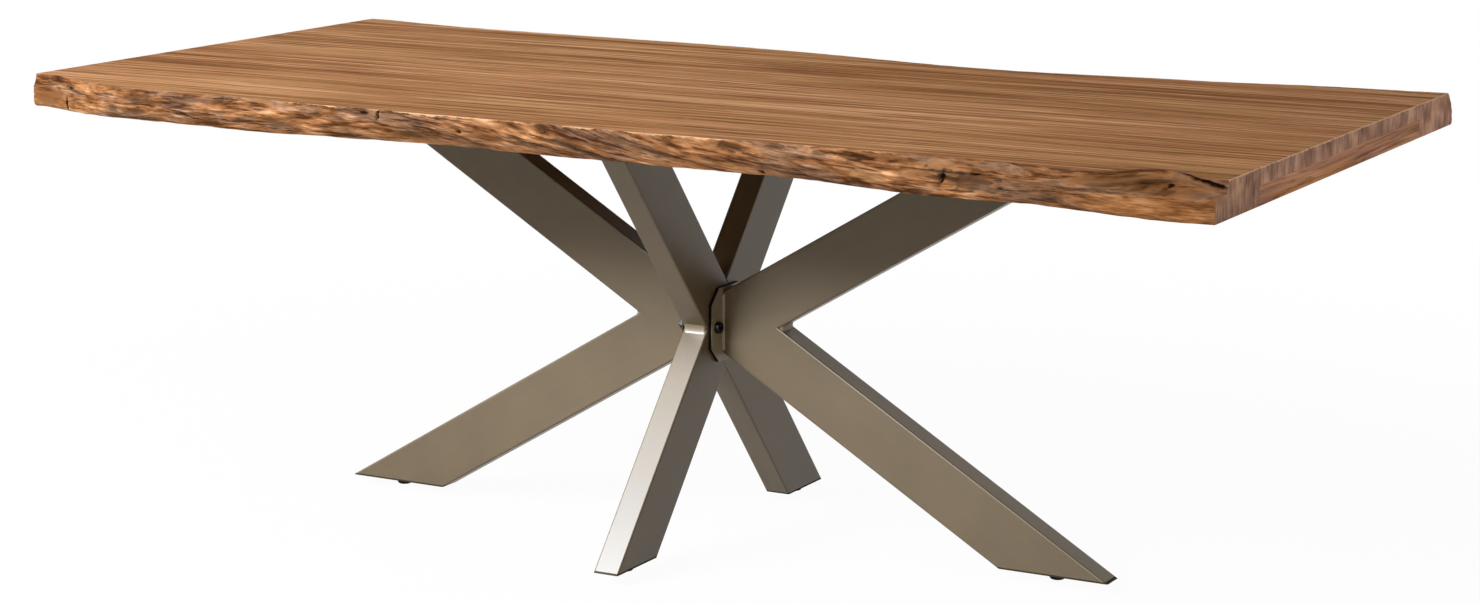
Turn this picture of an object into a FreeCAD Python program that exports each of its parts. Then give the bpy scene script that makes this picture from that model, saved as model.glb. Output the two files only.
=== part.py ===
import FreeCAD
import Part
import math
import os

# A dining table with a live-edge timber top on a welded star base.
# X runs along the table, Y towards its back and Z up. The origin is on the floor under the centre.

Vector = FreeCAD.Vector
AXIS_X = Vector(1, 0, 0)
AXIS_Y = Vector(0, 1, 0)
AXIS_Z = Vector(0, 0, 1)
ORIGIN = Vector(0, 0, 0)
HEXAGON_SIDES = 6

# Overall sizes
table_height = 770.0
top_length = 2200.0

# Boards and strips of the top
board_thickness = 26.0
board_width = 148.0
inner_board_count = 5
strip_thickness = 30.0
end_strip_width = 80.0

# Live edges. Each line starts from the mean width of the outer board at the rim, the glue seam and the
# underside. Each wave is (place along the table, depth of the hollow, spread); a bulge has a negative depth.
edge_point_spacing = 40.0
front_rim_width = 152.0
front_rim_waves = ((-1100, 84, 170), (-640, 15, 120), (170, -10, 200), (880, -22, 80), (982, 48, 60))
front_seam_width = 162.0
front_seam_waves = ((-1100, 88, 170), (-250, 10, 200), (1000, -38, 260))
front_foot_width = 122.0
front_foot_waves = ((-1100, 52, 120), (-590, -13, 130), (-230, 15, 160), (640, -46, 160), (1040, -86, 230))
back_rim_width = 175.0
back_rim_waves = ((-1100, -40, 170), (330, 80, 380), (720, 14, 100))
back_seam_width = 180.0
back_seam_waves = ((-1100, -32, 170), (300, 72, 360), (850, 10, 120), (-450, -8, 180))
back_foot_width = 166.0
back_foot_waves = ((-1100, -20, 150), (250, 60, 380), (-600, 12, 200), (900, -10, 150))

# Bearers under the boards
bearer_side_margin = 10.0
bearer_end_gap = 3.0
bearer_screw_inset = 25.0
screw_diameter = 5.0
screw_head_diameter = 9.0
screw_head_height = 4.0
screw_recess_depth = 6.0
screw_bite = 15.0
screw_clearance = 0.2

# Rectangular tube of the base
bar_width = 100.0
bar_depth = 46.0
bar_wall = 2.0
bar_corner_radius = 3.0
bar_bore_radius = 1.0

# Cross frame in the Y-Z plane and V frames in the X-Z plane
cross_axis_height = 365.5
cross_top_reach = 292.0
vee_axis_height = 371.5
vee_lean = 30.9
vee_crotch_reach = 135.2

# Hub plates and through bolts
hub_plate_thickness = 6.0
hub_plate_width = 124.0
hub_plate_margin = 11.0
hub_plate_corner = 26.0
hub_bolt_diameter = 10.0
hub_bolt_head_diameter = 20.0
hub_bolt_head_height = 5.5
hub_bolt_head_edge = 2.0
hub_socket_across_flats = 6.0
hub_socket_depth = 3.0
hub_washer_diameter = 21.0
hub_washer_thickness = 2.0
hub_nut_across_flats = 17.0
hub_nut_height = 8.0
hub_bolt_spare = 4.0

# Mounting plates under the bearers
mount_plate_thickness = 5.0
mount_plate_end_margin = 18.0
mount_plate_width = 150.0
mount_plate_corner = 10.0
mount_bolt_inset = 20.0
mount_bolt_diameter = 8.0
mount_bolt_head_diameter = 14.0
mount_bolt_head_height = 5.0
mount_bolt_bite = 15.0
mount_washer_diameter = 18.0
mount_washer_thickness = 1.6
insert_diameter = 12.0
insert_length = 20.0

# Feet
cap_thickness = 3.0
foot_nut_diameter = 16.0
foot_nut_height = 12.0
glide_diameter = 27.0
glide_height = 9.0
glide_round = 5.0
glide_floor = 3.0
stud_diameter = 8.0
stud_length = 31.0

# Weld beads
crotch_bead_leg = 10.0
crotch_bead_hollow = 2.0
plate_bead_leg = 4.0

# Fits
bolt_hole_clearance = 0.5
thread_clearance = 0.2

# Levels
underside = table_height - board_thickness - strip_thickness
seam_level = table_height - board_thickness
plate_under = underside - mount_plate_thickness
cap_under = glide_height
cap_top = cap_under + cap_thickness
hub_level = (cross_axis_height + vee_axis_height) / 2

# Places that follow from the frames
vee_angle = math.radians(vee_lean)
cross_angle = math.atan2(plate_under - cross_axis_height, cross_top_reach)
cross_lean = math.degrees(cross_angle)
vee_footprint = bar_width / math.sin(vee_angle)
cross_footprint = bar_width / math.sin(cross_angle)
cross_crotch_reach = cross_footprint / 2
cross_crotch_rise = bar_width / math.cos(cross_angle) / 2
vee_foot_place = vee_crotch_reach + (vee_axis_height - cap_under) / math.tan(vee_angle) - vee_footprint / 2
cross_foot_place = (cross_axis_height - cap_under) / math.tan(cross_angle)
vee_plate_place = vee_crotch_reach + (plate_under - vee_axis_height) / math.tan(vee_angle) - vee_footprint / 2
hub_face = bar_depth / 2 + hub_plate_thickness
vee_end_half_height = (hub_face - vee_crotch_reach) * math.tan(vee_angle) + bar_width / math.cos(vee_angle)
hub_plate_half_height = vee_end_half_height + hub_plate_margin
hub_bolt_place = (bar_depth / 2 + hub_plate_width / 2) / 2
outer_joint = inner_board_count * board_width / 2
bar_reach = top_length


def mount_plate_half_length(footprint):
    return footprint / 2 + mount_plate_end_margin


# The bearers reach just past the cross frame's plates, and the long strips start beyond their ends
bearer_half_length = cross_top_reach + mount_plate_half_length(cross_footprint) + bearer_side_margin
strip_inner = bearer_half_length + bearer_end_gap


def save(name, *solids):
    """Write the solids of one piece, or of one group of like fasteners."""
    shape = solids[0] if len(solids) == 1 else Part.makeCompound(list(solids))
    shape.exportStep(f"parts/{name}.step")


def box_between(low, high):
    """A box from its lowest to its highest corner."""
    return Part.makeBox(high.x - low.x, high.y - low.y, high.z - low.z, low)


def rod(diameter, start, length, direction=AXIS_Z):
    return Part.makeCylinder(diameter / 2, length, start, direction)


def hexagon(across_flats, start, length, direction):
    """A hexagonal prism along X."""
    radius = across_flats / 2 / math.cos(math.pi / HEXAGON_SIDES)
    turns = [2 * math.pi * corner / HEXAGON_SIDES for corner in range(HEXAGON_SIDES + 1)]
    points = [start + Vector(0, radius * math.cos(turn), radius * math.sin(turn)) for turn in turns]
    return Part.Face(Part.makePolygon(points)).extrude(direction * length)


def edges_along(shape, axis):
    """The straight edges that run along an axis."""
    return [edge for edge in shape.Edges if abs(round(edge.tangentAt(edge.FirstParameter).dot(axis))) == 1]


def turned(shape, degrees):
    """A copy of a shape, turned about the vertical through the origin."""
    copy = shape.copy()
    copy.rotate(ORIGIN, AXIS_Z, degrees)
    return copy


def drilled(shape, holes):
    return shape.cut(Part.makeCompound(holes)) if holes else shape


# Live edges: the distance of each edge line from the middle of the table, worked out along X

def edge_stations():
    count = round(top_length / edge_point_spacing)
    return [-top_length / 2 + top_length * index / count for index in range(count + 1)]


def edge_reach(mean_width, waves):
    """Distance from the middle at each station, with the hollows and bulges of the natural edge."""
    reaches = []
    for x in edge_stations():
        hollow = sum(depth * math.exp(-((x - place) / spread) ** 2) for place, depth, spread in waves)
        reaches.append(outer_joint + mean_width - hollow)
    return reaches


front_rim = edge_reach(front_rim_width, front_rim_waves)
front_seam = edge_reach(front_seam_width, front_seam_waves)
front_foot = edge_reach(front_foot_width, front_foot_waves)
back_rim = edge_reach(back_rim_width, back_rim_waves)
back_seam = edge_reach(back_seam_width, back_seam_waves)
back_foot = edge_reach(back_foot_width, back_foot_waves)

# The back edge is set in or out as a whole, so that the top is centred over the base
back_shift = max(front_rim + front_seam + front_foot) - max(back_rim + back_seam + back_foot)
back_rim = [reach + back_shift for reach in back_rim]
back_seam = [reach + back_shift for reach in back_seam]
back_foot = [reach + back_shift for reach in back_foot]


def slab_outline(side, inner, reaches, level):
    """The closed outline of a live-edge slab at one level: three sawn sides and the natural edge."""
    edge_points = [Vector(x, side * reach, level) for x, reach in zip(edge_stations(), reaches)]
    natural = Part.BSplineCurve()
    natural.interpolate(edge_points)
    inner_right = Vector(top_length / 2, side * inner, level)
    inner_left = Vector(-top_length / 2, side * inner, level)
    return Part.Wire([
        natural.toShape(),
        Part.makeLine(edge_points[-1], inner_right),
        Part.makeLine(inner_right, inner_left),
        Part.makeLine(inner_left, edge_points[0]),
    ])


def live_edge_slab(side, inner, low_reaches, low_level, high_reaches, high_level):
    low = slab_outline(side, inner, low_reaches, low_level)
    high = slab_outline(side, inner, high_reaches, high_level)
    return Part.makeLoft([low, high], True, True)


# Base: tubes are made along X through the origin, then leaned and set in their frame

def tube_prism(inset, radius):
    """The outside of the tube, or its bore where the inset is the wall."""
    width = bar_width - 2 * inset
    depth = bar_depth - 2 * inset
    prism = Part.makeBox(2 * bar_reach, depth, width, Vector(-bar_reach, -depth / 2, -width / 2))
    return prism.makeFillet(radius, edges_along(prism, AXIS_X))


def leaned(shape, degrees, reach, height):
    """A copy that rises by an angle towards +X, moved so that its middle is at a reach and a height."""
    copy = shape.copy()
    copy.rotate(ORIGIN, AXIS_Y, -degrees)
    copy.translate(Vector(reach, 0, height))
    return copy


tube_outside = tube_prism(0, bar_corner_radius)
tube_bore = tube_prism(bar_wall, bar_bore_radius)


def tube_leg(degrees, reach, height, keep):
    outside = leaned(tube_outside, degrees, reach, height)
    bore = leaned(tube_bore, degrees, reach, height)
    return outside.cut(bore).common(keep)


def foot_cap(degrees, reach, height, side):
    """The plate that closes a leg at the floor, with a hole for the glide's stud."""
    low = Vector(min(0, side * bar_reach), -bar_depth, cap_under)
    high = Vector(max(0, side * bar_reach), bar_depth, cap_top)
    return leaned(tube_outside, degrees, reach, height).common(box_between(low, high))


def crotch_bead(reach, height, facing, half_angle):
    """A weld bead in the corner between two tubes, hollow on its face. Angles are in degrees."""
    corner = Vector(reach, 0, height)

    def along(degrees, distance):
        angle = math.radians(degrees)
        return corner + Vector(math.cos(angle), 0, math.sin(angle)) * distance

    upper = along(facing + half_angle, crotch_bead_leg)
    lower = along(facing - half_angle, crotch_bead_leg)
    middle = along(facing, crotch_bead_leg * math.cos(math.radians(half_angle)) - crotch_bead_hollow)
    outline = Part.Wire([
        Part.makeLine(corner, upper),
        Part.Arc(upper, middle, lower).toShape(),
        Part.makeLine(lower, corner),
    ])
    length = bar_depth - 2 * bar_corner_radius
    bead = Part.Face(outline).extrude(AXIS_Y * length)
    bead.translate(AXIS_Y * (-length / 2))
    return bead


# V frames: two mitred tubes and a hub plate, made for the right end and turned for the left

vee_offset_reach = vee_crotch_reach - math.sin(vee_angle) * bar_width / 2
vee_offset_height = math.cos(vee_angle) * bar_width / 2
vee_upper_keep = box_between(
    Vector(hub_face, -bar_depth, vee_axis_height), Vector(bar_reach, bar_depth, plate_under))
vee_lower_keep = box_between(
    Vector(hub_face, -bar_depth, cap_top), Vector(bar_reach, bar_depth, vee_axis_height))
vee_upper_leg = tube_leg(vee_lean, vee_offset_reach, vee_axis_height + vee_offset_height, vee_upper_keep)
vee_lower_leg = tube_leg(-vee_lean, vee_offset_reach, vee_axis_height - vee_offset_height, vee_lower_keep)
vee_bead = crotch_bead(vee_crotch_reach, vee_axis_height, 0, vee_lean)

hub_places = [-hub_bolt_place, hub_bolt_place]
hub_hole = hub_bolt_diameter + 2 * bolt_hole_clearance
hub_holes = [
    rod(hub_hole, Vector(-bar_reach, y, cross_axis_height), 2 * bar_reach, AXIS_X) for y in hub_places
]


def hub_plate():
    half_width = hub_plate_width / 2
    half_height = hub_plate_half_height
    straight = half_width - hub_plate_corner
    upright = half_height - hub_plate_corner
    corners = [
        (-straight, -half_height), (straight, -half_height), (half_width, -upright), (half_width, upright),
        (straight, half_height), (-straight, half_height), (-half_width, upright), (-half_width, -upright),
    ]
    points = [Vector(bar_depth / 2, y, hub_level + z) for y, z in corners]
    outline = Part.makePolygon(points + points[:1])
    return drilled(Part.Face(outline).extrude(AXIS_X * hub_plate_thickness), hub_holes)


def hub_plate_beads():
    """Upright beads between the V frame's sides and its hub plate."""
    half_height = vee_end_half_height - bar_corner_radius / math.cos(vee_angle)
    beads = []
    for side in (-1, 1):
        corner = Vector(hub_face, side * bar_depth / 2, vee_axis_height - half_height)
        points = [corner, corner + AXIS_X * plate_bead_leg, corner + AXIS_Y * side * plate_bead_leg, corner]
        beads.append(Part.Face(Part.makePolygon(points)).extrude(AXIS_Z * 2 * half_height))
    return beads


# Cross frame, made with X standing for the table's Y and turned into place

cross_keep = box_between(Vector(-bar_reach, -bar_depth, cap_top), Vector(bar_reach, bar_depth, plate_under))
long_leg = tube_leg(-cross_lean, 0, cross_axis_height, cross_keep)
band_corner = Vector(-bar_reach, -bar_depth, -bar_width / 2)
long_leg_band = Part.makeBox(2 * bar_reach, 2 * bar_depth, bar_width, band_corner)
half_legs = tube_leg(cross_lean, 0, cross_axis_height, cross_keep).cut(
    leaned(long_leg_band, -cross_lean, 0, cross_axis_height)).Solids
front_half, back_half = sorted(half_legs, key=lambda solid: solid.CenterOfMass.x)
cross_beads = [
    crotch_bead(cross_crotch_reach, cross_axis_height, 0, cross_lean),
    crotch_bead(0, cross_axis_height + cross_crotch_rise, 90, 90 - cross_lean),
    crotch_bead(-cross_crotch_reach, cross_axis_height, 180, cross_lean),
    crotch_bead(0, cross_axis_height - cross_crotch_rise, 270, 90 - cross_lean),
]


# Mounting plates: each has its holes beside the leg that it is welded to

def mount_places(place, footprint):
    """Bolt places of a plate whose leg leans along +X."""
    along = mount_plate_half_length(footprint) - mount_bolt_inset
    across = mount_plate_width / 2 - mount_bolt_inset
    return [Vector(place + dx, dy, 0) for dx in (-along, along) for dy in (-across, across)]


def mount_plate(place, footprint):
    half_length = mount_plate_half_length(footprint)
    low = Vector(place - half_length, -mount_plate_width / 2, plate_under)
    high = Vector(place + half_length, mount_plate_width / 2, underside)
    plate = box_between(low, high)
    plate = plate.makeFillet(mount_plate_corner, edges_along(plate, AXIS_Z))
    hole = mount_bolt_diameter + 2 * bolt_hole_clearance
    spots = mount_places(place, footprint)
    return drilled(plate, [rod(hole, spot + AXIS_Z * plate_under, mount_plate_thickness) for spot in spots])


def mount_washer(spot):
    start = spot + AXIS_Z * (plate_under - mount_washer_thickness)
    washer = rod(mount_washer_diameter, start, mount_washer_thickness)
    return washer.cut(rod(mount_bolt_diameter + 2 * bolt_hole_clearance, start, mount_washer_thickness))


def mount_bolt(spot):
    head_top = plate_under - mount_washer_thickness
    head_under = head_top - mount_bolt_head_height
    head = rod(mount_bolt_head_diameter, spot + AXIS_Z * head_under, mount_bolt_head_height)
    shank_length = mount_washer_thickness + mount_plate_thickness + mount_bolt_bite
    return head.fuse(rod(mount_bolt_diameter, spot + AXIS_Z * head_top, shank_length))


def threaded_insert(spot):
    start = spot + AXIS_Z * underside
    bore = rod(mount_bolt_diameter + 2 * thread_clearance, start, insert_length)
    return rod(insert_diameter, start, insert_length).cut(bore)


# Feet

def foot_nut(place):
    start = Vector(place, 0, cap_top)
    bore = rod(stud_diameter + 2 * thread_clearance, start, foot_nut_height)
    return rod(foot_nut_diameter, start, foot_nut_height).cut(bore)


def glide(place):
    """A black disc with a rounded underside, and a blind hole for its stud."""
    disc = rod(glide_diameter, Vector(place, 0, 0), glide_height)
    rim = [edge for edge in disc.Edges if edge.Closed and edge.CenterOfMass.z < glide_round]
    disc = disc.makeFillet(glide_round, rim)
    socket = rod(stud_diameter + 2 * thread_clearance, Vector(place, 0, glide_floor), glide_height)
    return disc.cut(socket)


def glide_stud(place):
    return rod(stud_diameter, Vector(place, 0, glide_floor), stud_length)


def stud_hole(place):
    return rod(stud_diameter + 2 * bolt_hole_clearance, Vector(place, 0, cap_under), cap_thickness)


os.makedirs("parts", exist_ok=True)

# Each end of the base: its name, the turn from +X, the plate and foot places, and the footprint of its legs
ends = (
    ("right", 0, vee_plate_place, vee_foot_place, vee_footprint),
    ("left", 180, vee_plate_place, vee_foot_place, vee_footprint),
    ("back", 90, cross_top_reach, cross_foot_place, cross_footprint),
    ("front", 270, cross_top_reach, cross_foot_place, cross_footprint),
)
mount_spots = {
    name: [turned(Part.Vertex(spot), turn).Point for spot in mount_places(plate_place, footprint)]
    for name, turn, plate_place, foot_place, footprint in ends
}
all_mount_spots = [spot for spots in mount_spots.values() for spot in spots]

# Bearers: their name, place along the table and width, with screw places under each inner board
vee_bearer_width = 2 * (mount_plate_half_length(vee_footprint) + bearer_side_margin)
centre_bearer_width = mount_plate_width + 2 * bearer_side_margin
bearers = (
    ("left_bearer", -vee_plate_place, vee_bearer_width),
    ("centre_bearer", 0, centre_bearer_width),
    ("right_bearer", vee_plate_place, vee_bearer_width),
)
board_middles = [board_width * (index - (inner_board_count - 1) / 2) for index in range(inner_board_count)]


def screw_places(place, width):
    reach = width / 2 - bearer_screw_inset
    return [Vector(place + dx, y, 0) for dx in (-reach, reach) for y in board_middles]


all_screw_spots = [spot for name, place, width in bearers for spot in screw_places(place, width)]
screw_seat = underside + screw_recess_depth


def bearer_screw(spot):
    head = rod(screw_head_diameter, spot + AXIS_Z * (screw_seat - screw_head_height), screw_head_height)
    return head.fuse(rod(screw_diameter, spot + AXIS_Z * screw_seat, seam_level + screw_bite - screw_seat))


def bearer(place, width):
    low = Vector(place - width / 2, -bearer_half_length, underside)
    high = Vector(place + width / 2, bearer_half_length, seam_level)
    holes = []
    for spot in screw_places(place, width):
        bottom = spot + AXIS_Z * underside
        holes.append(rod(screw_head_diameter + 2 * bolt_hole_clearance, bottom, screw_recess_depth))
        holes.append(rod(screw_diameter + 2 * screw_clearance, bottom, strip_thickness))
    for spot in all_mount_spots:
        if low.x < spot.x < high.x:
            holes.append(rod(insert_diameter + 2 * thread_clearance, spot + AXIS_Z * underside, insert_length))
    return drilled(box_between(low, high), holes)


# Top
for index, middle in enumerate(board_middles, start=1):
    low = Vector(-top_length / 2, middle - board_width / 2, seam_level)
    high = Vector(top_length / 2, middle + board_width / 2, table_height)
    pilots = [
        rod(screw_diameter + 2 * screw_clearance, spot + AXIS_Z * seam_level, screw_bite)
        for spot in all_screw_spots if low.y < spot.y < high.y
    ]
    save(f"top_board_{index}", drilled(box_between(low, high), pilots))
save("front_live_edge_board", live_edge_slab(-1, outer_joint, front_seam, seam_level, front_rim, table_height))
save("back_live_edge_board", live_edge_slab(1, outer_joint, back_seam, seam_level, back_rim, table_height))
save("front_live_edge_strip", live_edge_slab(-1, strip_inner, front_foot, underside, front_seam, seam_level))
save("back_live_edge_strip", live_edge_slab(1, strip_inner, back_foot, underside, back_seam, seam_level))
for name, inner_side in (("left_end_strip", -1), ("right_end_strip", 1)):
    outer_x = inner_side * top_length / 2
    inner_x = inner_side * (top_length / 2 - end_strip_width)
    low = Vector(min(outer_x, inner_x), -strip_inner, underside)
    high = Vector(max(outer_x, inner_x), strip_inner, seam_level)
    save(name, box_between(low, high))
for name, place, width in bearers:
    save(name, bearer(place, width))
save("bearer_screws", *[bearer_screw(spot) for spot in all_screw_spots])
save("threaded_inserts", *[threaded_insert(spot) for spot in all_mount_spots])

# V frames
for name, turn in (("right", 0), ("left", 180)):
    save(f"{name}_upper_leg", turned(vee_upper_leg, turn))
    save(f"{name}_lower_leg", turned(vee_lower_leg, turn))
    save(f"{name}_hub_plate", turned(hub_plate(), turn))
save("vee_crotch_welds", vee_bead, turned(vee_bead, 180))
save("hub_plate_welds", *[turned(bead, turn) for turn in (0, 180) for bead in hub_plate_beads()])

# Cross frame
save("cross_long_leg", drilled(turned(long_leg, 90), hub_holes))
save("front_lower_leg", drilled(turned(front_half, 90), hub_holes))
save("back_upper_leg", drilled(turned(back_half, 90), hub_holes))
save("cross_frame_welds", *[turned(bead, 90) for bead in cross_beads])

# Hub bolts run through both plates and the cross frame, with the heads on the right and the nuts on the left
hub_bolts = []
hub_washers = []
hub_nuts = []
head_seat = hub_face + hub_washer_thickness
head_top = head_seat + hub_bolt_head_height
shank_end = -head_seat - hub_nut_height - hub_bolt_spare
for y in hub_places:
    centre = Vector(0, y, cross_axis_height)
    for start in (hub_face, -head_seat):
        spot = centre + AXIS_X * start
        washer = rod(hub_washer_diameter, spot, hub_washer_thickness, AXIS_X)
        hub_washers.append(washer.cut(rod(hub_hole, spot, hub_washer_thickness, AXIS_X)))
    head = rod(hub_bolt_head_diameter, centre + AXIS_X * head_seat, hub_bolt_head_height, AXIS_X)
    head_edges = [edge for edge in head.Edges if edge.Closed]
    outer_rim = max(head_edges, key=lambda edge: edge.CenterOfMass.x)
    socket = hexagon(hub_socket_across_flats, centre + AXIS_X * head_top, hub_socket_depth, -AXIS_X)
    head = head.makeFillet(hub_bolt_head_edge, [outer_rim]).cut(socket)
    shank = rod(hub_bolt_diameter, centre + AXIS_X * shank_end, head_seat - shank_end, AXIS_X)
    hub_bolts.append(head.fuse(shank))
    nut = hexagon(hub_nut_across_flats, centre - AXIS_X * head_seat, hub_nut_height, -AXIS_X)
    thread = rod(hub_bolt_diameter + 2 * thread_clearance, centre + AXIS_X * shank_end, -shank_end, AXIS_X)
    hub_nuts.append(nut.cut(thread))
save("hub_bolts", *hub_bolts)
save("hub_washers", *hub_washers)
save("hub_nuts", *hub_nuts)

# Mounting plates, caps, nuts and glides of the four ends
vee_cap = foot_cap(-vee_lean, vee_offset_reach, vee_axis_height - vee_offset_height, 1)
cross_caps = {
    "back": foot_cap(-cross_lean, 0, cross_axis_height, 1),
    "front": turned(foot_cap(cross_lean, 0, cross_axis_height, -1), 180),
}
foot_nuts = []
for name, turn, plate_place, foot_place, footprint in ends:
    save(f"{name}_mounting_plate", turned(mount_plate(plate_place, footprint), turn))
    cap = cross_caps.get(name, vee_cap)
    save(f"{name}_foot_cap", turned(drilled(cap, [stud_hole(foot_place)]), turn))
    foot_nuts.append(turned(foot_nut(foot_place), turn))
    save(f"{name}_glide", turned(glide(foot_place), turn))
    save(f"{name}_glide_stud", turned(glide_stud(foot_place), turn))
save("foot_nuts", *foot_nuts)
save("mounting_washers", *[mount_washer(spot) for spot in all_mount_spots])
save("mounting_bolts", *[mount_bolt(spot) for spot in all_mount_spots])
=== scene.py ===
import math
import bmesh
import bpy
import numpy as np
from mathutils import Color, Matrix, Vector, noise


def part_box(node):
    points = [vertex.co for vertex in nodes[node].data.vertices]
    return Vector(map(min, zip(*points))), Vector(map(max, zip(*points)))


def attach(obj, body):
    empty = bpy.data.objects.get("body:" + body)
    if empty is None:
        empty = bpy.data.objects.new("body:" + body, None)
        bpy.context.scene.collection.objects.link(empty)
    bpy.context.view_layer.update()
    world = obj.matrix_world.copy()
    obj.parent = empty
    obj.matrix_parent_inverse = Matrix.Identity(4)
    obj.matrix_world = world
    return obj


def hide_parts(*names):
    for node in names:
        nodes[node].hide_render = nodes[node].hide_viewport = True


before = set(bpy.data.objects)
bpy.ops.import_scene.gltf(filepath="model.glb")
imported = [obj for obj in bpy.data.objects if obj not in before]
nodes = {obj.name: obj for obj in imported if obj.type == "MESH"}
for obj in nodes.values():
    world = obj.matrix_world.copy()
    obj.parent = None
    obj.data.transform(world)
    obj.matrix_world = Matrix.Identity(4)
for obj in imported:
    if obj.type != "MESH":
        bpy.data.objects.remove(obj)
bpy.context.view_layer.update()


# Top boards
# Five planed boards of solid sheesham, edge-glued side by side with the grain along the table.
# The face is sanded and oiled matt, and the sawn ends show reddish brown end grain.

class Wire:
    """An output socket in a material. Arithmetic on it adds Math nodes to the same material."""

    def __init__(self, tree, socket=None):
        self.tree = tree
        self.socket = socket

    def add(self, kind, settings=None, inputs=None, output=0):
        """Add a node: its settings, then the values or links of its sockets. Gives one output."""
        node = self.tree.nodes.new(kind)
        for name, value in (settings or {}).items():
            if name == "stops":
                places, colours = zip(*value)
                elements = node.color_ramp.elements
                elements[0].position = places[0]
                elements[-1].position = places[-1]
                for place in places[1:-1]:
                    elements.new(place)
                for element, colour in zip(elements, colours):
                    element.color = colour
            else:
                setattr(node, name, value)
        for name, value in (inputs or {}).items():
            if isinstance(value, Wire):
                self.tree.links.new(value.socket, node.inputs[name])
            else:
                node.inputs[name].default_value = value
        return Wire(self.tree, node.outputs[output])

    def math(self, operation, *values):
        return self.add("ShaderNodeMath", {"operation": operation}, dict(enumerate(values)))

    def __add__(self, other):
        return self.math("ADD", self, other)

    def __sub__(self, other):
        return self.math("SUBTRACT", self, other)

    def __rsub__(self, other):
        return self.math("SUBTRACT", other, self)

    def __mul__(self, other):
        return self.math("MULTIPLY", self, other)

    def __truediv__(self, other):
        return self.math("DIVIDE", self, other)

    def __abs__(self):
        return self.math("ABSOLUTE", self)

    __radd__ = __add__
    __rmul__ = __mul__


def tone(red, green, blue):
    """A colour given in sRGB, from 0 to 255, as the linear colour that a socket takes."""
    picked = Color((red / 255, green / 255, blue / 255))
    return (*picked.from_srgb_to_scene_linear(), 1.0)


def new_finish(name):
    """A new material, its shader and the wire of its Object coordinates."""
    material = bpy.data.materials.new(name)
    material.use_nodes = True
    tree = material.node_tree
    place = Wire(tree).add("ShaderNodeTexCoord", output="Object")
    return material, tree.nodes["Principled BSDF"], place


def feed(shader, **wires):
    """Link wires to the shader's sockets, named with _ for a space."""
    for name, wire in wires.items():
        wire.tree.links.new(wire.socket, shader.inputs[name.replace("_", " ")])


def split(place):
    return [place.add("ShaderNodeSeparateXYZ", None, {0: place}, axis) for axis in "XYZ"]


def joined(x, y, z):
    return x.add("ShaderNodeCombineXYZ", None, {0: x, 1: y, 2: z})


def stretched(place, rates, detail=2.0):
    """Noise whose waves per metre are given along X, Y and Z."""
    scaled = place.add("ShaderNodeVectorMath", {"operation": "MULTIPLY"}, {0: place, 1: rates})
    return place.add("ShaderNodeTexNoise", None, {"Vector": scaled, "Scale": 1.0, "Detail": detail})


def fade(value, low, high):
    """0 below low and 1 above high, with a smooth step between them."""
    limits = {"Value": value, "From Min": low, "From Max": high}
    return value.add("ShaderNodeMapRange", {"interpolation_type": "SMOOTHSTEP"}, limits)


def blend(mask, first, second):
    return mask.add("ShaderNodeMix", {"data_type": "RGBA"}, {0: mask, 6: first, 7: second}, 2)


def shaded(colour, value):
    """A colour made lighter or darker by a wire."""
    return value.add("ShaderNodeHueSaturation", None, {"Value": value, "Color": colour})


def ramp(value, *stops):
    return value.add("ShaderNodeValToRGB", {"stops": stops}, {0: value})


def bump(height, depth):
    return height.add("ShaderNodeBump", None, {"Height": height, "Distance": depth}, "Normal")


def dress(finish, *names):
    """Give the named nodes a finish."""
    for name in names:
        nodes[name].material_slots[0].material = finish


board_count = 5
board_low, board_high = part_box("top_board_1")
board_width = board_high.y - board_low.y
seam_level = board_low.z
top_level = board_high.z
half_length = board_high.x


def end_grain(place):
    """Colour of a sawn end: upright fibres in reddish browns, painted paler to the right and back,
    and a pale torn line at the top that is partly painted highlight.
    """
    x, y, z = split(place)
    fibres = stretched(place, (1, 290, 20), 3.0)
    clouds = stretched(place, (1, 16, 22), 5.0)
    colour = ramp(
        fibres * 0.42 + clouds * 0.58,
        (0.34, tone(104, 75, 62)),
        (0.46, tone(156, 119, 100)),
        (0.54, tone(181, 141, 119)),
        (0.7, tone(224, 178, 144)),
    )
    heart = fade(stretched(place, (1, 34, 12), 4.0), 0.52, 0.62)
    colour = blend(heart * 0.55, colour, tone(128, 99, 88))
    # Painted light: the right end and the back are painted paler and the left end darker, as the
    # light falls.
    colour = shaded(colour, 1.0 + 0.25 * x + 0.4 * y)
    torn = stretched(place, (1, 75, 1), 4.0) * 0.009
    # A pale line at the top: torn fibres, and partly a painted highlight on the arris.
    torn_line_and_highlight = fade(z + torn, top_level + 0.0024, top_level + 0.0034)
    return blend(torn_line_and_highlight, colour, tone(228, 190, 156))


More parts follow.
